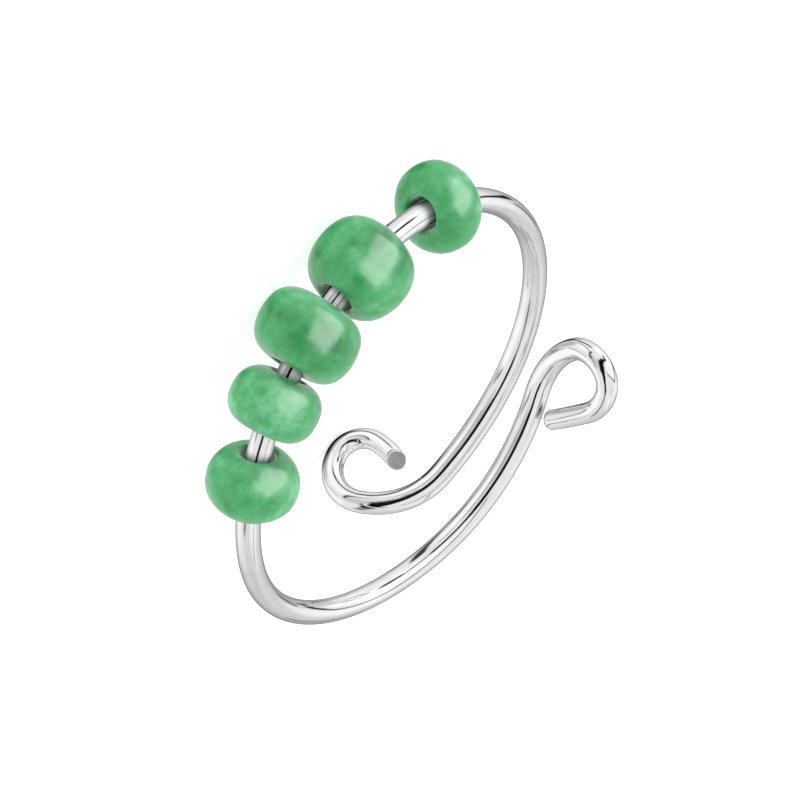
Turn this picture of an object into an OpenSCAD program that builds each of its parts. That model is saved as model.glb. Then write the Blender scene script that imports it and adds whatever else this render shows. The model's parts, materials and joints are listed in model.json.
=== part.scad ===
// Open finger ring bent from one round wire, with five glass beads that slide and spin on its front.
// The wire is drawn as if the finger were unrolled: a run and a turn for each bend, then wrapped round it.

/* [Ring] */
// Inside diameter of the ring, where the finger goes
inner_d = 17; // [14:0.5:23]
// Diameter of the round wire
wire_d = 1; // [0.8:0.05:1.2]
// Clear gap between the two strands where they pass each other at the back
strand_gap = 1.3; // [0.6:0.1:2.5]
// How far the straight slanted run reaches to each side of the ring's front, in degrees round the ring
slant_deg = 32; // [20:1:45]
// How far each side takes to turn level after that, in degrees round the ring
level_out_deg = 41; // [25:1:60]
// How far the level strand runs to the curl with the cut face, in degrees round the ring
strand_a_deg = 116; // [90:1:130]
// How far the level strand runs to the lead of the round-tipped curl, in degrees round the ring
strand_b_deg = 84; // [60:1:100]
// How far that lead runs, in degrees round the ring
lead_b_deg = 48; // [35:1:60]

/* [Curls] */
// Length of wire in the curl with the cut face
curl_a_len = 9.8; // [8.6:0.1:12]
// Length of wire in the round-tipped curl
curl_b_len = 9.5; // [8.4:0.1:12]
// How much thinner the wire is at both tips, where bending drew it out
tip_thin = 0.16; // [0:0.02:0.24]
// Edge radius of the cut face
cut_edge = 0.06; // [0.02:0.01:0.2]
// Edge radius of the rounded tip
tip_edge = 0.3; // [0.1:0.01:0.38]

/* [Beads] */
// Diameter of a small bead
small_d = 3.75; // [3:0.05:4.5]
// Length of a small bead along the wire
small_len = 2.8; // [2.2:0.1:3.2]
// Diameter of a large bead
large_d = 4.2; // [3.6:0.05:5]
// Length of a large bead along the wire
large_len = 3.5; // [2.8:0.1:3.8]
// How much wider the hole through each bead is than the wire
hole_play = 0.6; // [0.6:0.05:1.2]
// Least clearance between the wire and the wall of a hole
hole_clear = 0.05; // [0.02:0.01:0.1]
// Clear gap between the first bead and the second, where the bare wire shows
bare_front = 1.5; // [0.3:0.02:2.4]
// Clear gap between the fourth bead and the last
bare_end = 0.43; // [0.1:0.02:1.6]
// Clear gap between two beads that lie against each other
bead_gap = 0.06; // [0.05:0.01:0.4]
// How far the middle of the bead row sits off the ring's front, towards the last bead
row_shift = -1.2; // [-3:0.1:3]

/* [Hidden] */
silver = [0.86, 0.86, 0.88];
jade = [0.30, 0.66, 0.42];
wire_sides = 16;       // sides of the swept wire
longest_step = 1;      // longest wire between two rings of its mesh
most_turn_deg = 13;    // most degrees of bend between two rings of its mesh
round_steps = 3;       // rings that round each tip's edge
roundest = 0.95;       // most that a tip's edge takes of its half thickness
fine = 96;             // circles of the beads

ring_r = (inner_d + wire_d) / 2;
wire_r = wire_d / 2;
tip_r = (wire_d - tip_thin) / 2;
hole_r = (wire_d + hole_play) / 2;
deg = 180 / PI;
mm_per_deg = ring_r / deg;

// The wire rises by half the strands' spacing on each side of the front, so this is its slope there
half_rise = (wire_d + strand_gap) / 2;
slope = asin(half_rise / ((slant_deg + level_out_deg / 2) * mm_per_deg));

// Bends of each half of the wire from the ring's front to its tip: length of wire, and turn in degrees
RUN = 0;
TURN = 1;
// Curls: share of the curl's length, and turn in degrees
CURL_A = [[0.37, 60], [0.13, 50], [0.17, 50], [0.20, 104], [0.13, 20]];
CURL_B = [[0.33, 56], [0.29, 128], [0.16, 52], [0.22, 4]];
lead_b_turn_deg = -10;
front_bends = [[slant_deg * mm_per_deg, 0], [level_out_deg * mm_per_deg, -slope]];
bends_a = concat(front_bends, [[strand_a_deg * mm_per_deg, 0]],
    [for (bend = CURL_A) [bend[RUN] * curl_a_len, bend[TURN]]]);
bends_b = concat(front_bends, [[strand_b_deg * mm_per_deg, 0], [lead_b_deg * mm_per_deg, lead_b_turn_deg]],
    [for (bend = CURL_B) [bend[RUN] * curl_b_len, bend[TURN]]]);

// Beads in their order on the wire. Lengths and diameters are shares of the small or large bead's.
// Belly and edge are radii of the outline, as shares of the diameter and the length.
// Gap is the clear gap to the next bead. Out, up and tip share out the bead's play on the wire.
LEN = 0;
DIA = 1;
BELLY = 2;
EDGE = 3;
GAP = 4;
OUT = 5;
UP = 6;
TIP = 7;
BEADS = [
    [0.80 * small_len, 1.00 * small_d, 0.68, 0.48, bare_front, 0.75, 0.40, -0.10],
    [0.94 * large_len, 0.98 * large_d, 0.63, 0.37, bead_gap, -0.10, 0.15, -0.80],
    [0.83 * large_len, 1.01 * large_d, 0.57, 0.38, bead_gap, 0.60, -0.55, 0.15],
    [0.87 * small_len, 0.98 * small_d, 0.63, 0.42, bare_end, 0.10, -0.15, 0.80],
    [1.00 * small_len, 0.99 * small_d, 0.79, 0.48, 0, 0, 0, 0]
];
bead_count = len(BEADS);

function total(list, upto) = upto <= 0 ? 0 : list[upto - 1] + total(list, upto - 1);
function column(table, at) = [for (row = table) row[at]];
function length_of(bends) = total(column(bends, RUN), len(bends));
function along_z(a, v) = [v.x * cos(a) - v.y * sin(a), v.x * sin(a) + v.y * cos(a), v.z];
function along_y(a, v) = [v.x * cos(a) + v.z * sin(a), v.y, v.z * cos(a) - v.x * sin(a)];

// Where one bend ends on the unrolled finger: distance round it, distance across it, and heading
function bent(at, run, turn) = abs(turn) < 0.001
    ? [at[0] + run * cos(at[2]), at[1] + run * sin(at[2]), at[2]]
    : let (r = run * deg / turn, to = at[2] + turn)
        [at[0] + r * (sin(to) - sin(at[2])), at[1] - r * (cos(to) - cos(at[2])), to];

// The place on the unrolled finger after a length s of wire
function walk(bends, s, k = 0, at = [0, 0, slope]) =
    (k == len(bends) - 1 || s <= bends[k][RUN])
    ? bent(at, s, bends[k][TURN] * s / bends[k][RUN])
    : walk(bends, s - bends[k][RUN], k + 1, bent(at, bends[k][RUN], bends[k][TURN]));

// Frame of the wire at s, negative towards the cut face: point, direction, outward, and across
function wire_frame(s) =
    let (
        at = s < 0 ? -walk(bends_a, -s) : walk(bends_b, s),
        heading = s < 0 ? -at[2] : at[2],
        a = at[0] * deg / ring_r,
        out = [cos(a), sin(a), 0],
        along = [-sin(a) * cos(heading), cos(a) * cos(heading), sin(heading)]
    )
    [[ring_r * out.x, ring_r * out.y, at[1]], along, out, cross(along, out)];

// Half thickness of the wire: full to the start of the curl, then thinner towards the tip
function thin(s, full_to, tip_at) = s <= full_to ? wire_r
    : wire_r + (tip_r - wire_r) * (s - full_to) / (tip_at - full_to);

// Stations of one half of the wire, each a length along it and a half thickness
function stations(bends, curl_len, edge) =
    let (
        tip_at = length_of(bends),
        last = tip_at - edge,
        marks = [for (k = [0:len(bends) - 1])
            let (
                start = total(column(bends, RUN), k),
                steps = ceil(max(bends[k][RUN] / longest_step, abs(bends[k][TURN]) / most_turn_deg))
            )
            for (j = [1:steps]) start + bends[k][RUN] * j / steps]
    )
    concat(
        [for (s = marks) if (s < last - edge / 2) [s, thin(s, tip_at - curl_len, tip_at)]],
        [for (j = [0:round_steps])
            let (q = 90 * j / round_steps)
            [last + edge * sin(q), thin(last, tip_at - curl_len, tip_at) - edge + edge * cos(q)]]
    );

half_a = stations(bends_a, curl_a_len, min(cut_edge, roundest * tip_r));
half_b = stations(bends_b, curl_b_len, min(tip_edge, roundest * tip_r));
wire_line = concat(
    [for (j = [len(half_a) - 1:-1:0]) [-half_a[j][0], half_a[j][1]]],
    [[0, wire_r]],
    half_b);
ring_mesh = [for (station = wire_line)
    let (f = wire_frame(station[0]))
    for (j = [0:wire_sides - 1])
        let (q = 360 * j / wire_sides)
        f[0] + station[1] * (cos(q) * f[2] + sin(q) * f[3])];

// Outline of a bead: an arc of the belly, then an edge that rounds into the flat end
function half_len(i) = BEADS[i][LEN] / 2;
function radius(i) = BEADS[i][DIA] / 2;
function belly(i) = BEADS[i][BELLY] * BEADS[i][DIA];
function edge(i) = BEADS[i][EDGE] * BEADS[i][LEN];
function belly_ends(i) = asin((half_len(i) - edge(i)) / (belly(i) - edge(i)));
function edge_r(i) = radius(i) - belly(i) + (belly(i) - edge(i)) * cos(belly_ends(i));

// A bead's play on the wire, which is what its hole leaves round the curved wire, and how far it tips
function play(i) = hole_r - wire_r - hole_clear - pow(BEADS[i][LEN], 2) / (8 * ring_r);
function tip(i) = atan(BEADS[i][TIP] * play(i) / half_len(i));

// Middle of the round of a bead's inner edge, at its far end or its near one: distance from the
// finger's axis, and angle round it from the bead's middle
function inner_edge(i, end) =
    let (
        t = end * (half_len(i) - edge(i)),
        out = ring_r + BEADS[i][OUT] * play(i) + t * sin(tip(i)) - edge_r(i) * cos(tip(i)),
        along = t * cos(tip(i)) + edge_r(i) * sin(tip(i))
    )
    [norm([out, along]), atan2(along, out)];

// Wire from one bead's middle to the next one's, which leaves their gap between the two inner edges
function pitch(i) =
    let (
        a = inner_edge(i, 1),
        b = inner_edge(i + 1, -1),
        d = edge(i) + edge(i + 1) + BEADS[i][GAP]
    )
    (a[1] - b[1] + acos((a[0] * a[0] + b[0] * b[0] - d * d) / (2 * a[0] * b[0]))) * mm_per_deg;
pitches = [for (i = [0:bead_count - 2]) pitch(i)];
row_start = row_shift - (total(pitches, bead_count - 1) + half_len(bead_count - 1) - half_len(0)) / 2;
function bead_at(i) = row_start + total(pitches, i);

// Frame of a bead: its middle, and the direction of its hole
function bead_frame(i) =
    let (f = wire_frame(bead_at(i)))
    [
        f[0] + play(i) * (BEADS[i][OUT] * f[2] - BEADS[i][UP] * f[3]),
        cos(tip(i)) * f[1] + sin(tip(i)) * f[2]
    ];

// How far a bead reaches from its middle in a direction whose share along its axis is c
function reach(i, c) =
    let (s = sqrt(max(0, 1 - c * c)))
    atan2(abs(c), s) <= belly_ends(i)
    ? belly(i) + (radius(i) - belly(i)) * s
    : edge(i) + edge_r(i) * s + (half_len(i) - edge(i)) * abs(c);

// The ring lies on its side, on the curl with the cut face and on the two large beads.
// Up is square to the plane that touches three balls: the curl's lowest wire and those beads.
function lowest_wire(up) =
    let (
        low = [for (station = wire_line) wire_frame(station[0])[0] * up - station[1]],
        found = [for (k = [0:len(low) - 1]) if (low[k] == min(low)) k][0]
    )
    wire_line[found];
function touching(up) =
    let (
        curl = lowest_wire(up),
        p = wire_frame(curl[0])[0],
        a = p - bead_frame(1)[0],
        b = p - bead_frame(2)[0],
        ka = curl[1] - radius(1),
        kb = curl[1] - radius(2),
        det = (a * a) * (b * b) - (a * b) * (a * b),
        flat = ((ka * (b * b) - kb * (a * b)) * a + (kb * (a * a) - ka * (a * b)) * b) / det,
        square = cross(a, b) / norm(cross(a, b))
    )
    flat + sqrt(1 - flat * flat) * (square.z < 0 ? -square : square);
up = touching(touching([0, 0, 1]));
lean_way = atan2(up.y, up.x);
lean = acos(up.z);
front_way = lean_way - 90;
function turned(v) = along_z(front_way, along_y(-lean, along_z(-lean_way, v)));

// The box of the leaning ring, so that its base's middle is the origin
mesh_now = [for (point = ring_mesh) turned(point)];
beads_now = [for (i = [0:bead_count - 1]) [turned(bead_frame(i)[0]), turned(bead_frame(i)[1])]];
function low_of(k) = min(concat([for (p = mesh_now) p[k]],
    [for (i = [0:bead_count - 1]) beads_now[i][0][k] - reach(i, beads_now[i][1][k])]));
function high_of(k) = max(concat([for (p = mesh_now) p[k]],
    [for (i = [0:bead_count - 1]) beads_now[i][0][k] + reach(i, beads_now[i][1][k])]));
base_middle = [(low_of(0) + high_of(0)) / 2, (low_of(1) + high_of(1)) / 2, low_of(2)];

module lying() {
    translate(-base_middle)
        rotate([0, 0, front_way])
            rotate([0, -lean, 0])
                rotate([0, 0, -lean_way])
                    children();
}

// One wire, swept ring by ring from the cut face to the rounded tip
module band_wire() {
    n = wire_sides;
    rings = len(wire_line);
    sides = [for (k = [0:rings - 2], j = [0:n - 1])
        let (a = k * n + j, b = k * n + (j + 1) % n)
        each [[a, b, b + n], [a, b + n, a + n]]];
    ends = [[for (j = [n - 1:-1:0]) j], [for (j = [0:n - 1]) (rings - 1) * n + j]];
    color(silver)
        lying()
            polyhedron(points = ring_mesh, faces = concat(sides, ends), convexity = 8);
}

// Half outline of a bead, with its axis up the page
module bead_outline(i) {
    belly_to = belly(i) * sin(belly_ends(i));
    intersection() {
        translate([radius(i) - belly(i), 0])
            circle(r = belly(i), $fn = fine);
        translate([0, -belly_to])
            square([radius(i), 2 * belly_to]);
    }
    for (side = [-1, 1])
        intersection() {
            translate([edge_r(i), side * (half_len(i) - edge(i))])
                circle(r = edge(i), $fn = fine);
            translate([0, -half_len(i)])
                square([radius(i), 2 * half_len(i)]);
        }
    translate([0, -half_len(i)])
        square([edge_r(i), 2 * half_len(i)]);
}

module bead(i) {
    f = bead_frame(i);
    color(jade)
        lying()
            translate(f[0])
                rotate([0, acos(f[1].z), atan2(f[1].y, f[1].x)])
                    difference() {
                        rotate_extrude($fn = fine)
                            bead_outline(i);
                        cylinder(r = hole_r, h = 2 * BEADS[i][LEN], center = true, $fn = fine);
                    }
}

band_wire();
bead(0);  // bead_1
bead(1);  // bead_2
bead(2);  // bead_3
bead(3);  // bead_4
bead(4);  // bead_5
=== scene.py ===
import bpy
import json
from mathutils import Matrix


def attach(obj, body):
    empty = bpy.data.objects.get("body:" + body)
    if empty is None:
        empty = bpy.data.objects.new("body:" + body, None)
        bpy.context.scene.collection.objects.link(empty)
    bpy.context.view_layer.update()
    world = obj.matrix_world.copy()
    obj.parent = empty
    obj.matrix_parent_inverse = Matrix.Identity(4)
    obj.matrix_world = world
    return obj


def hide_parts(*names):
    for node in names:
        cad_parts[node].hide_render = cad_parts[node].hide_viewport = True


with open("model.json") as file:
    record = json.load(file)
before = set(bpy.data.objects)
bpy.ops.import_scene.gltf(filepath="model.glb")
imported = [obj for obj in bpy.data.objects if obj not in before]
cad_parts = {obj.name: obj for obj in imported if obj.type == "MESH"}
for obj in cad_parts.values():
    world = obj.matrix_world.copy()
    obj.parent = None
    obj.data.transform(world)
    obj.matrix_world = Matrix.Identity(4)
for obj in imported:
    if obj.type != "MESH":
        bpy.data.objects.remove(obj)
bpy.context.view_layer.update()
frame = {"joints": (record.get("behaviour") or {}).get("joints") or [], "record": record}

import json
import math

import bmesh
import bpy
from mathutils import Matrix, Vector, noise

MM = 0.001

# The ring's own frame has the finger's axis as Z and the ring's front at X.
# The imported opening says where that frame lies.
opening = frame["record"]["mounts"][0]
front_turn = Matrix.Rotation(math.radians(-90), 4, "Z")
own_axis = front_turn.inverted() @ Vector(opening["axis"])
lean = Vector((0, 0, 1)).rotation_difference(own_axis).to_matrix().to_4x4()
RING = Matrix.Translation(opening["pos_m"]) @ front_turn @ lean

# Sizes of the wire, in millimetres and degrees round the ring, as the construction has them
INNER_D = 17.0
WIRE_D = 1.0
STRAND_GAP = 1.3
SLANT_DEG = 32.0
LEVEL_OUT_DEG = 41.0
STRAND_A_DEG = 116.0
STRAND_B_DEG = 84.0
LEAD_B_DEG = 48.0
LEAD_B_TURN = -10.0
CURL_A_LEN = 9.8
CURL_B_LEN = 9.5
TIP_THIN = 0.16
CUT_EDGE = 0.06
TIP_EDGE = 0.3
# The cutter left the cut face slanted, over this length of wire
CUT_SLANT_DEG = 33.0
CUT_SLANT_RUN = 0.9
# Curls: share of the curl's length, and turn in degrees
CURL_A = [(0.37, 60), (0.13, 50), (0.17, 50), (0.20, 104), (0.13, 20)]
CURL_B = [(0.33, 56), (0.29, 128), (0.16, 52), (0.22, 4)]

RING_R = (INNER_D + WIRE_D) / 2
WIRE_R = WIRE_D / 2
MM_PER_DEG = math.radians(RING_R)

# Bends of each half of the wire, from the ring's front to its tip: length of wire, and turn in degrees
SLOPE = math.degrees(math.asin((WIRE_D + STRAND_GAP) / 2 / ((SLANT_DEG + LEVEL_OUT_DEG / 2) * MM_PER_DEG)))
FRONT = [(SLANT_DEG * MM_PER_DEG, 0), (LEVEL_OUT_DEG * MM_PER_DEG, -SLOPE)]
BENDS_A = FRONT + [(STRAND_A_DEG * MM_PER_DEG, 0)] + [(share * CURL_A_LEN, turn) for share, turn in CURL_A]
BENDS_B = FRONT + [(STRAND_B_DEG * MM_PER_DEG, 0), (LEAD_B_DEG * MM_PER_DEG, LEAD_B_TURN)]
BENDS_B += [(share * CURL_B_LEN, turn) for share, turn in CURL_B]
LENGTH_A = sum(run for run, turn in BENDS_A)
LENGTH_B = sum(run for run, turn in BENDS_B)

# Beads: length, diameter, belly radius as a share of the diameter, edge radius as a share of the length,
# and how uneven the bead's outline is, in millimetres
SMALL_D = 3.75
SMALL_LEN = 2.8
LARGE_D = 4.2
LARGE_LEN = 3.5
BEADS = {
    "bead_1": (0.80 * SMALL_LEN, 1.00 * SMALL_D, 0.68, 0.48, 0.03),
    "bead_2": (0.94 * LARGE_LEN, 0.98 * LARGE_D, 0.63, 0.37, 0.04),
    "bead_3": (0.83 * LARGE_LEN, 1.01 * LARGE_D, 0.57, 0.38, 0.04),
    "bead_4": (0.87 * SMALL_LEN, 0.98 * SMALL_D, 0.63, 0.42, 0.04),
    "bead_5": (1.00 * SMALL_LEN, 0.99 * SMALL_D, 0.79, 0.48, 0.03),
}
# How much wider than the wire a hole is drawn. The solid's holes are 0.1 wider than that.
HOLE_PLAY = 0.5
HOLE_R = (WIRE_D + HOLE_PLAY) / 2
# The rims of the holes are melted round, to this radius
HOLE_RIM = 0.12

# A bead's skin has long swells, as high as the bead is uneven, and small waves that fire polishing leaves.
# Scales are in rounds of noise to the millimetre. The noise is lowered, so that the skin mostly sinks.
SWELL_SCALE = 0.45
SWELL_SINK = 0.25
WAVE_HEIGHT = 0.014
WAVE_SCALE = 1.3
WAVE_SINK = 0.3
# The skin lies still at the hole and moves fully at this distance from its wall
SKIN_FADE = 0.5
# How far apart in the noise one bead starts from the next
SWELL_SEED = (7.3, 3.1, 1.0)
WAVE_SEED = (2.9, 5.3, 1.7)

# Fineness of the meshes: sides, the wire's longest step in millimetres, and steps of each round or straight
WIRE_SIDES = 48
WIRE_STEP = 0.12
TIP_STEPS = 8
BEAD_SIDES = 128
BEAD_STEPS = 22
RIM_STEPS = 6
WALL_STEPS = 16
# How much of the drawn lines' pattern a millimetre of wire takes
LINES_PER_MM = 0.1

# The photograph's camera, as fitted: place, lens and sensor in millimetres, and angles in degrees
CAMERA_AT = (-3.92, -290.40, 88.92)
CAMERA_AZIMUTH = 0.70
CAMERA_DOWN = 16.26
CAMERA_ROLL = 124.99
CAMERA_LENS = 344.1
CAMERA_SENSOR = 36.0

# The tent round the ring is plain white at this level, but for bands between two directions. Each band has
# the azimuth from +Y and the elevation of both ends, its half width and the softness of its edges, all in
# degrees, and how bright it is beside the plain tent.
TENT_LEVEL = 0.85
# The gap between the cloths that the camera looks through, from the side of -X past the camera to +X
CAMERA_GAP = [
    (-97, 13, -110, 13, 6.0, 4.0, 0.03),
    (-110, 18, -135, 13, 2.5, 2.5, 0.02),
    (-132, 13, -160, 11, 6.0, 3.0, 0.01),
    (-157, 10, 148, 14, 11.0, 3.0, 0.01),
    (152, 15, 122, 20, 7.0, 4.0, 0.01),
    (122, 20, 90, 10, 4.0, 4.0, 0.30),
]
# Dark seams between the other cloths
SEAMS = [
    (-20, 14, -33, 18, 2.0, 2.5, 0.20),
    (-36, 2, -52, 26, 2.5, 2.5, 0.03),
    (-52, 26, -62, 60, 1.6, 2.0, 0.15),
    (-60, 60, -167, 40, 1.5, 2.5, 0.20),
    (-150, -24, 155, -26, 1.5, 2.5, 0.12),
    (-116, -27, -60, -66, 4.0, 3.0, 0.06),
    (-80, -73, -18, -60, 8.0, 3.0, 0.05),
    (-50, -57, -4, -45, 4.0, 3.0, 0.06),
    (0, -64, 95, -60, 1.2, 2.5, 0.35),
    (112, -60, 126, -34, 1.5, 2.5, 0.25),
    (25, 18, 10, 30, 1.0, 2.0, 0.45),
    (155, 72, 38, 50, 1.2, 3.0, 0.50),
]
# Cloths that hang in shade
SHADED_CLOTHS = [
    (100, 15, 45, 35, 12, 14, 0.85),
    (60, 5, 0, 30, 20, 20, 0.90),
    (-55, -55, 0, -45, 10, 12, 0.60),
    (-90, -80, 90, -80, 15, 12, 0.60),
    (150, -15, 180, -10, 10, 15, 0.70),
]
# Cloths with a lamp behind them
LIT_CLOTHS = [
    (-140, 40, -80, 40, 14, 15, 1.20),
    (-115, 5, -60, 5, 20, 12, 1.25),
    (-35, 60, -30, 30, 10, 10, 1.20),
    (60, -35, 110, -35, 16, 14, 1.20),
    (-180, -45, -130, -45, 12, 12, 1.20),
    (80, 60, 10, 60, 12, 12, 1.15),
]

# The softbox's direction and that of its long side, along the camera's right, down and ahead
SOFTBOX_FROM = (0.724, -0.262, -0.638)
SOFTBOX_LONG_WAY = (0.67, -0.74, 0.0)


def walk(bends, s):
    """Place on the unrolled finger after a length s of wire: distance round it, across it, and heading."""
    x, y, heading = 0.0, 0.0, SLOPE
    for k, (run, turn) in enumerate(bends):
        last = k == len(bends) - 1
        part = s if last else min(s, run)
        to = heading + turn * part / run
        a, b = math.radians(heading), math.radians(to)
        if turn == 0:
            x += part * math.cos(a)
            y += part * math.sin(a)
        else:
            r = run / math.radians(turn)
            x += r * (math.sin(b) - math.sin(a))
            y -= r * (math.cos(b) - math.cos(a))
        heading = to
        s -= part
        if s <= 0:
            break
    return x, y, heading


def wire_frame(s):
    """Point, direction, outward and across of the wire at s, negative towards the cut face."""
    x, y, heading = walk(BENDS_A, -s) if s < 0 else walk(BENDS_B, s)
    if s < 0:
        x, y = -x, -y
    a, h = x / RING_R, math.radians(heading)
    out = Vector((math.cos(a), math.sin(a), 0))
    along = Vector((-math.sin(a) * math.cos(h), math.cos(a) * math.cos(h), math.sin(h)))
    return Vector((RING_R * out.x, RING_R * out.y, y)), along, out, along.cross(out)


def half_thickness(s):
    """Half the wire's thickness at s. It thins evenly along each curl towards its tip."""
    tip_at, curl = (LENGTH_A, CURL_A_LEN) if s < 0 else (LENGTH_B, CURL_B_LEN)
    past = max(0.0, abs(s) - (tip_at - curl)) / curl
    return WIRE_R - TIP_THIN / 2 * past


def wire_stations():
    """Stations from the cut face to the rounded tip: length along the wire, and half thickness."""
    stations = []
    cut = LENGTH_A - CUT_EDGE
    for j in range(TIP_STEPS, 0, -1):
        q = math.pi / 2 * j / TIP_STEPS
        r = half_thickness(-cut) - CUT_EDGE + CUT_EDGE * math.cos(q)
        stations.append((-(cut + CUT_EDGE * math.sin(q)), r))
    end = LENGTH_B - TIP_EDGE
    steps = math.ceil((cut + end) / WIRE_STEP)
    for j in range(steps + 1):
        s = -cut + (cut + end) * j / steps
        stations.append((s, half_thickness(s)))
    for j in range(1, TIP_STEPS + 1):
        q = math.pi / 2 * j / TIP_STEPS
        r = half_thickness(end) - TIP_EDGE + TIP_EDGE * math.cos(q)
        stations.append((end + TIP_EDGE * math.sin(q), r))
    return stations


def make_object(name, mesh_data, materials):
    """An object in the scene from a finished bmesh."""
    mesh = bpy.data.meshes.new(name)
    mesh_data.to_mesh(mesh)
    mesh_data.free()
    for material in materials:
        mesh.materials.append(material)
    made = bpy.data.objects.new(name, mesh)
    bpy.context.scene.collection.objects.link(made)
    return made


def join_rings(bm, rings, closed=False):
    """Joins rings of vertices with quads, and the last ring with the first where closed."""
    following = rings[1:] + rings[:1] if closed else rings[1:]
    for low, high in zip(rings, following):
        n = len(low)
        for j in range(n):
            bm.faces.new((low[j], low[(j + 1) % n], high[(j + 1) % n], high[j]))


def past_seam(value, on_face):
    """A share of a full round, carried on past 1 on the face that closes the round."""
    closes = max(on_face) - min(on_face) > 0.5
    return value + 1 if closes and value < 0.5 else value


def make_wire(polished, cut):
    """The wire as one smooth sweep, with its flat cut face and its rounded tip."""
    bm = bmesh.new()
    uv = bm.loops.layers.uv.new("run")
    rings = []
    place = {}
    for s, r in wire_stations():
        point, along, out, across = wire_frame(s)
        from_cut = s + LENGTH_A - CUT_EDGE
        slant = math.tan(math.radians(CUT_SLANT_DEG)) * min(1.0, max(0.0, 1 - from_cut / CUT_SLANT_RUN))
        ring = []
        for j in range(WIRE_SIDES):
            q = 2 * math.pi * j / WIRE_SIDES
            side = math.cos(q) * out + math.sin(q) * across
            vert = bm.verts.new(RING @ ((point + r * side - slant * r * math.cos(q) * along) * MM))
            place[vert] = (s, j / WIRE_SIDES)
            ring.append(vert)
        rings.append(ring)
    join_rings(bm, rings)
    flat = bm.faces.new(list(reversed(rings[0])))
    tip = bm.faces.new(rings[-1])
    for face in bm.faces:
        face.smooth = face is not flat and face is not tip
        turns = [place[loop.vert][1] for loop in face.loops]
        for loop in face.loops:
            s, turn = place[loop.vert]
            loop[uv].uv = (s * LINES_PER_MM, past_seam(turn, turns))
    flat.material_index = 1
    bm.normal_update()
    wire = make_object("wire", bm, [polished, cut])
    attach(wire, "band")
    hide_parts("band_wire")


def bead_outline(length, diameter, belly_share, edge_share):
    """Closed outline of a bead beside its axis, as (distance from the axis, place along it)."""
    half, radius = length / 2, diameter / 2
    belly, edge = belly_share * diameter, edge_share * length
    meet = math.asin((half - edge) / (belly - edge))
    edge_r = radius - belly + (belly - edge) * math.cos(meet)
    # The edge starts at the hole's rim, where the rim reaches into it
    start = math.pi / 2
    if edge_r < HOLE_R + HOLE_RIM:
        start = math.acos(min(1.0, (HOLE_R + HOLE_RIM - edge_r) / edge))
    # From the rim at one end, over the edge, the belly and the other edge, to the other rim
    outline = []
    for j in range(BEAD_STEPS + 1):
        q = start + (meet - start) * j / BEAD_STEPS
        outline.append((edge_r + edge * math.cos(q), half - edge + edge * math.sin(q)))
    for j in range(1, BEAD_STEPS):
        q = meet - 2 * meet * j / BEAD_STEPS
        outline.append((radius - belly + belly * math.cos(q), belly * math.sin(q)))
    outline += [(r, -z) for r, z in reversed(outline[:BEAD_STEPS + 1])]
    # Round the rim, along the straight wall of the hole, and round the first rim
    wall_end = outline[0][1] - HOLE_RIM
    rim = []
    for j in range(1, RIM_STEPS + 1):
        q = math.pi / 2 * j / RIM_STEPS
        rim.append((HOLE_R + HOLE_RIM - HOLE_RIM * math.sin(q), wall_end + HOLE_RIM * math.cos(q)))
    outline += [(r, -z) for r, z in rim]
    outline += [(HOLE_R, -wall_end + 2 * wall_end * j / WALL_STEPS) for j in range(1, WALL_STEPS)]
    outline += list(reversed(rim))
    return outline


def skin_move(point, seed, uneven):
    """How far a bead's skin moves outward at a point, in millimetres."""
    swell = noise.noise(point * SWELL_SCALE + Vector([seed * step for step in SWELL_SEED])) - SWELL_SINK
    wave = noise.noise(point * WAVE_SCALE + Vector([seed * step for step in WAVE_SEED])) - WAVE_SINK
    return uneven * swell + WAVE_HEIGHT * wave


def make_bead(joint, material, seed):
    """One glass bead round its joint's axis, a little uneven as a fire-polished bead is."""
    name = joint["child"]
    length, diameter, belly_share, edge_share, uneven = BEADS[name]
    place = Vector((0, 0, 1)).rotation_difference(Vector(joint["axis"])).to_matrix().to_4x4()
    place = Matrix.Translation(joint["pos_m"]) @ place
    bm = bmesh.new()
    uv = bm.loops.layers.uv.new("round")
    rings, spot = [], {}
    outline = bead_outline(length, diameter, belly_share, edge_share)
    on_wall = HOLE_R + 0.001
    for k, (r, z) in enumerate(outline):
        ring = []
        for j in range(BEAD_SIDES):
            q = 2 * math.pi * j / BEAD_SIDES
            point = Vector((r * math.cos(q), r * math.sin(q), z))
            if r > on_wall:
                away = min(1.0, (r - HOLE_R) / SKIN_FADE)
                point += point.normalized() * skin_move(point, seed, uneven) * away
            vert = bm.verts.new(place @ (point * MM))
            spot[vert] = (j / BEAD_SIDES, k / len(outline))
            ring.append(vert)
        rings.append(ring)
    join_rings(bm, rings, closed=True)
    bmesh.ops.recalc_face_normals(bm, faces=bm.faces)
    for face in bm.faces:
        face.smooth = True
        turns = [spot[loop.vert][0] for loop in face.loops]
        runs = [spot[loop.vert][1] for loop in face.loops]
        for loop in face.loops:
            turn, run = spot[loop.vert]
            loop[uv].uv = (past_seam(turn, turns), past_seam(run, runs))
    bead = make_object("glass_" + name, bm, [material])
    # The photograph's wire shows no green
    bead.visible_glossy = False
    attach(bead, name)
    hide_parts(name)
    return bead


def new_material(name):
    """A material with its node tree and its shader."""
    material = bpy.data.materials.new(name)
    material.use_nodes = True
    tree = material.node_tree
    return material, tree, tree.nodes["Principled BSDF"]


def add(tree, kind, **sockets):
    """A node with its input sockets set by name."""
    node = tree.nodes.new(kind)
    for key, value in sockets.items():
        node.inputs[key].default_value = value
    return node


def own_coords(tree):
    """Coordinates of the piece itself, in metres."""
    return tree.nodes.new("ShaderNodeTexCoord").outputs["Object"]


def uv_coords(tree, name, scale):
    """Coordinates of a UV map, stretched."""
    uv = tree.nodes.new("ShaderNodeUVMap")
    uv.uv_map = name
    return stretched(tree, uv.outputs["UV"], scale)


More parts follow.
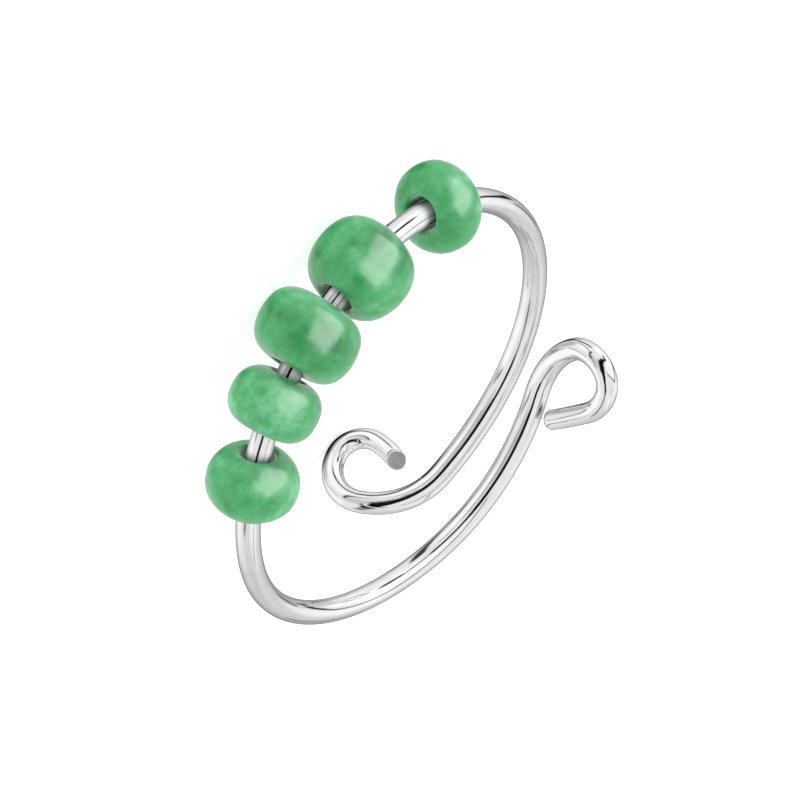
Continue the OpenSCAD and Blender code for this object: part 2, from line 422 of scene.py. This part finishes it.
def stretched(tree, coords, scale):
    """Coordinates multiplied by a scale for each axis."""
    mapping = add(tree, "ShaderNodeMapping", Scale=scale)
    tree.links.new(coords, mapping.inputs["Vector"])
    return mapping.outputs["Vector"]


def noise_over(tree, coords, **sockets):
    """Noise from 0 to 1 over coordinates."""
    node = add(tree, "ShaderNodeTexNoise", **sockets)
    tree.links.new(coords, node.inputs["Vector"])
    return node.outputs["Fac"]


def ramp(tree, source, stops):
    """Colours between stops, each a value of the source and its colour."""
    node = tree.nodes.new("ShaderNodeValToRGB")
    elements = node.color_ramp.elements
    while len(elements) < len(stops):
        elements.new(0.5)
    for element, (at, colour) in zip(elements, stops):
        element.position = at
        element.color = (*colour, 1)
    tree.links.new(source, node.inputs["Fac"])
    return node.outputs["Color"]


def bump(tree, shader, height, strength, distance):
    """Fine relief on a shader, at most this distance high, in metres."""
    node = add(tree, "ShaderNodeBump", Strength=strength, Distance=distance)
    tree.links.new(height, node.inputs["Height"])
    tree.links.new(node.outputs["Normal"], shader.inputs["Normal"])


def grey(v):
    """A colour without hue."""
    return (v, v, v)


def silver_material():
    """Polished round wire: faint drawing lines along it, soft differences in its polish, and painted shade
    inside the bead holes and the slits between beads.
    """
    material, tree, shader = new_material("polished_silver")
    links = tree.links
    shader.inputs["Metallic"].default_value = 1.0
    shader.inputs["Specular Tint"].default_value = (0.35, 0.35, 0.36, 1.0)
    along_wire = uv_coords(tree, "run", (2.0, 90.0, 1.0))
    drawn = noise_over(tree, along_wire, Scale=3.0, Detail=4.0)
    soft = noise_over(tree, own_coords(tree), Scale=900.0, Detail=3.0)
    tone = ramp(tree, soft, [(0.3, (0.90, 0.90, 0.915)), (0.7, (0.97, 0.97, 0.975))])
    # Painted shade and painted reflection: inside a bead's hole, and in the slits between beads, ambient
    # occlusion darkens the wire's colour towards a dark green, as if it mirrored little but dark glass
    occlusion_shade = add(tree, "ShaderNodeAmbientOcclusion", Distance=0.0008)
    occlusion_shade.samples = 8
    shade = ramp(tree, occlusion_shade.outputs["AO"],
                 [(0.20, (0.05, 0.09, 0.065)), (0.45, (0.29, 0.33, 0.305)), (0.72, grey(1.0))])
    darken = tree.nodes.new("ShaderNodeVectorMath")
    darken.operation = "MULTIPLY"
    links.new(tone, darken.inputs[0])
    links.new(shade, darken.inputs[1])
    links.new(darken.outputs["Vector"], shader.inputs["Base Color"])
    rough = ramp(tree, drawn, [(0.35, grey(0.02)), (0.75, grey(0.07))])
    links.new(rough, shader.inputs["Roughness"])
    bump(tree, shader, drawn, 0.05, 0.00002)
    return material


def cut_material():
    """The cut face: flatter, greyer metal with the cutter's fine marks across it."""
    material, tree, shader = new_material("cut_silver")
    links = tree.links
    shader.inputs["Metallic"].default_value = 1.0
    across = stretched(tree, own_coords(tree), (9000.0, 1500.0, 1500.0))
    marks = noise_over(tree, across, Scale=1.0, Detail=5.0)
    tone = ramp(tree, marks, [(0.3, grey(0.42)), (0.7, grey(0.60))])
    links.new(tone, shader.inputs["Base Color"])
    rough = ramp(tree, marks, [(0.3, grey(0.35)), (0.7, grey(0.55))])
    links.new(rough, shader.inputs["Roughness"])
    bump(tree, shader, marks, 0.2, 0.00002)
    return material


def glass_material():
    """Mid green, half translucent glass: cloudy, streaked along the bead, and dull from fire polishing."""
    material, tree, shader = new_material("green_glass")
    links = tree.links
    cloud = noise_over(tree, own_coords(tree), Scale=560.0, Detail=4.0, Roughness=0.55, Distortion=0.3)
    round_bead = uv_coords(tree, "round", (16.0, 5.0, 1.0))
    streak = noise_over(tree, round_bead, Scale=1.6, Detail=4.0, Roughness=0.6)
    depth = tree.nodes.new("ShaderNodeMath")
    depth.operation = "MULTIPLY_ADD"
    links.new(streak, depth.inputs[0])
    depth.inputs[1].default_value = 0.45
    links.new(cloud, depth.inputs[2])
    tone = ramp(tree, depth.outputs["Value"],
                [(0.50, (0.022, 0.25, 0.070)), (0.64, (0.050, 0.38, 0.125)), (0.78, (0.080, 0.46, 0.175)),
                 (0.94, (0.21, 0.62, 0.33))])
    links.new(tone, shader.inputs["Base Color"])
    rough = ramp(tree, cloud, [(0.3, grey(0.26)), (0.7, grey(0.42))])
    links.new(rough, shader.inputs["Roughness"])
    shader.inputs["IOR"].default_value = 1.5
    shader.inputs["Subsurface Weight"].default_value = 0.7
    shader.inputs["Subsurface Scale"].default_value = 0.0011
    shader.inputs["Subsurface Radius"].default_value = (0.6, 1.0, 0.7)
    shader.inputs["Coat Weight"].default_value = 0.4
    shader.inputs["Coat Roughness"].default_value = 0.15
    bump(tree, shader, cloud, 0.10, 0.00006)
    return material


def floor_material():
    """Pale paper that glows a little, so that it comes out white."""
    material, tree, shader = new_material("pale_floor")
    paper = noise_over(tree, own_coords(tree), Scale=60.0, Detail=2.0)
    tone = ramp(tree, paper, [(0.3, grey(0.52)), (0.7, grey(0.54))])
    tree.links.new(tone, shader.inputs["Base Color"])
    tree.links.new(tone, shader.inputs["Emission Color"])
    shader.inputs["Emission Strength"].default_value = 1.45
    shader.inputs["Roughness"].default_value = 0.7
    shader.inputs["Specular IOR Level"].default_value = 0.2
    return material


def make_floor():
    """A floor two metres to each side. The wire mirrors the tent's lower half and not the floor."""
    bm = bmesh.new()
    bmesh.ops.create_grid(bm, x_segments=8, y_segments=8, size=2.0)
    floor = make_object("floor", bm, [floor_material()])
    floor.visible_glossy = False


def looking(azimuth, elevation):
    """A direction from its azimuth from +Y and its elevation, in degrees."""
    a, e = math.radians(azimuth), math.radians(elevation)
    return Vector((math.sin(a) * math.cos(e), math.cos(a) * math.cos(e), math.sin(e)))


def make_camera():
    """The photograph's view: a little down on the ring, towards +Y, and rolled over."""
    data = bpy.data.cameras.new("camera")
    data.sensor_width = CAMERA_SENSOR
    data.lens = CAMERA_LENS
    data.clip_start = 0.01
    data.clip_end = 10.0
    camera = bpy.data.objects.new("camera", data)
    bpy.context.scene.collection.objects.link(camera)
    ahead = looking(CAMERA_AZIMUTH, -CAMERA_DOWN).to_track_quat("-Z", "Y").to_matrix().to_4x4()
    roll = Matrix.Rotation(math.radians(CAMERA_ROLL), 4, "Z")
    camera.matrix_world = Matrix.Translation(Vector(CAMERA_AT) * MM) @ ahead @ roll
    bpy.context.scene.camera = camera
    return camera


def make_world():
    """The tent: its plain level, multiplied by every band's brightness in turn."""
    world = bpy.data.worlds.new("tent")
    bpy.context.scene.world = world
    world.use_nodes = True
    tree = world.node_tree
    links = tree.links
    background = tree.nodes["Background"]
    coords = tree.nodes.new("ShaderNodeTexCoord")

    def math_node(operation, a, b, clamp=False):
        """A sum over numbers or the outputs of other nodes."""
        node = tree.nodes.new("ShaderNodeMath")
        node.operation = operation
        node.use_clamp = clamp
        for socket, value in zip(node.inputs, (a, b)):
            if isinstance(value, (int, float)):
                socket.default_value = value
            else:
                links.new(value, socket)
        return node.outputs["Value"]

    def toward(direction):
        """Cosine of the angle between the sky's direction and this one."""
        node = tree.nodes.new("ShaderNodeVectorMath")
        node.operation = "DOT_PRODUCT"
        links.new(coords.outputs["Generated"], node.inputs[0])
        node.inputs[1].default_value = direction
        return node.outputs["Value"]

    light = 1.0
    bands = CAMERA_GAP + SEAMS + SHADED_CLOTHS + LIT_CLOTHS
    for from_az, from_el, to_az, to_el, half_width, soft, level in bands:
        one, two = looking(from_az, from_el), looking(to_az, to_el)
        square, middle = one.cross(two).normalized(), (one + two).normalized()
        half_run = one.angle(two) / 2
        inner, outer = math.sin(math.radians(half_width)), math.sin(math.radians(half_width + soft))
        across = math_node("SUBTRACT", outer, math_node("ABSOLUTE", toward(square), 0))
        across = math_node("DIVIDE", across, outer - inner, clamp=True)
        end = math.cos(half_run + math.radians(soft))
        along = math_node("SUBTRACT", toward(middle), end)
        along = math_node("DIVIDE", along, math.cos(half_run) - end, clamp=True)
        shade = math_node("MULTIPLY", math_node("MULTIPLY", across, along), 1 - level)
        light = math_node("MULTIPLY", light, math_node("SUBTRACT", 1.0, shade))
    links.new(math_node("MULTIPLY", light, TENT_LEVEL), background.inputs["Strength"])
    background.inputs["Color"].default_value = (1.0, 1.0, 1.0, 1.0)


def make_light(name, direction, long_way, distance, length, width, power):
    """A soft light that looks at the ring from a direction, with its long side along long_way."""
    data = bpy.data.lights.new(name, "AREA")
    data.shape = "RECTANGLE"
    data.size = length
    data.size_y = width
    data.energy = power
    lamp = bpy.data.objects.new(name, data)
    bpy.context.scene.collection.objects.link(lamp)
    back = direction.normalized()
    side = (long_way - long_way.dot(back) * back).normalized()
    turn = Matrix((side, back.cross(side), back)).transposed().to_4x4()
    lamp.matrix_world = Matrix.Translation(back * distance) @ turn
    return lamp


def make_lights(camera, beads):
    """A softbox for the sheen on the beads alone, and a soft light above everything."""
    def as_seen(right, down, ahead):
        """A direction given along the camera's right, down and ahead."""
        return camera.matrix_world.to_3x3() @ Vector((right, -down, -ahead))

    softbox = make_light("softbox", as_seen(*SOFTBOX_FROM), as_seen(*SOFTBOX_LONG_WAY),
                         distance=0.4, length=0.74, width=0.46, power=5.2)
    softbox.visible_diffuse = False
    softbox.data.use_shadow = False
    softbox.light_linking.receiver_collection = beads
    top = make_light("top", Vector((0, 0, 1)), as_seen(1, 0, 0),
                     distance=0.6, length=0.6, width=0.6, power=1.3)
    top.visible_glossy = False


make_wire(silver_material(), cut_material())
glass = glass_material()
beads = bpy.data.collections.new("beads")
for number, joint in enumerate(frame["joints"]):
    beads.objects.link(make_bead(joint, glass, number))
make_floor()
camera = make_camera()
make_world()
make_lights(camera, beads)

bpy.context.scene.view_settings.view_transform = "Standard"
